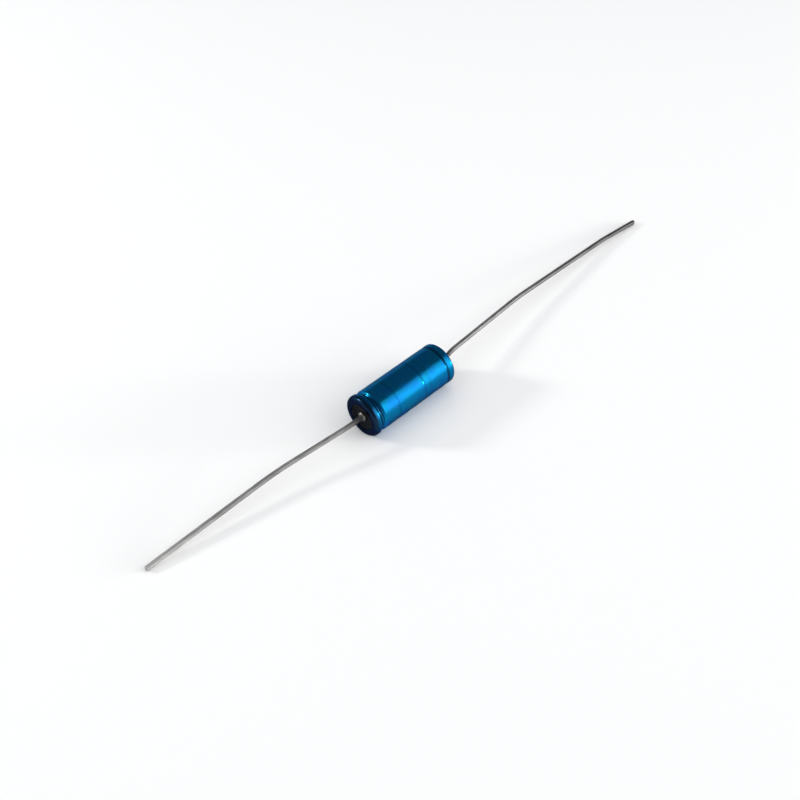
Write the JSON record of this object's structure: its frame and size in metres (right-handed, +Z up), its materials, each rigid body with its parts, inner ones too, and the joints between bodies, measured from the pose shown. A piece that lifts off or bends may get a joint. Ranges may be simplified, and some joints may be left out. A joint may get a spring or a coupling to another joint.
{
  "type": "axial electrolytic capacitor",
  "caption": "Small round aluminium can in a shrunk blue film, grooved near its sealed end, with a stiff tinned wire leaving the middle of each end.",
  "frame": {"origin": "on the body's axis, halfway along the can", "axes": "+X along the body from the sealed positive end to the closed negative end, +Z up; the rim of the body and the ends of both wires rest on the plane z = -3.495 mm"},
  "size_m": [0.1094, 0.007, 0.007],
  "materials": {
    "sleeve_film": "glossy blue film, slightly see-through over bright metal",
    "can_aluminium": "drawn, bright",
    "seal_rubber": "matt black",
    "seal_board": "brown resin-bonded paper",
    "rivet_aluminium": "dull grey",
    "washer_aluminium": "stamped, satin",
    "wound_foil_and_paper": "wet paper and etched foil, edge on",
    "closing_tape": "amber film tape",
    "tab_aluminium": "rolled strip, satin",
    "tinned_wire": "hot-tinned copper, soft grey shine"
  },
  "bodies": {
    "root": {"insulating_sleeve": "sleeve_film", "can": "can_aluminium", "seal_rubber": "seal_rubber", "seal_board": "seal_board", "terminal_rivet": "rivet_aluminium", "rivet_washer": "washer_aluminium", "wound_element": "wound_foil_and_paper", "winding_tape": "closing_tape", "anode_tab": "tab_aluminium", "cathode_tab": "tab_aluminium", "positive_lead": "tinned_wire", "negative_lead": "tinned_wire"}
  },
  "joints": []
}
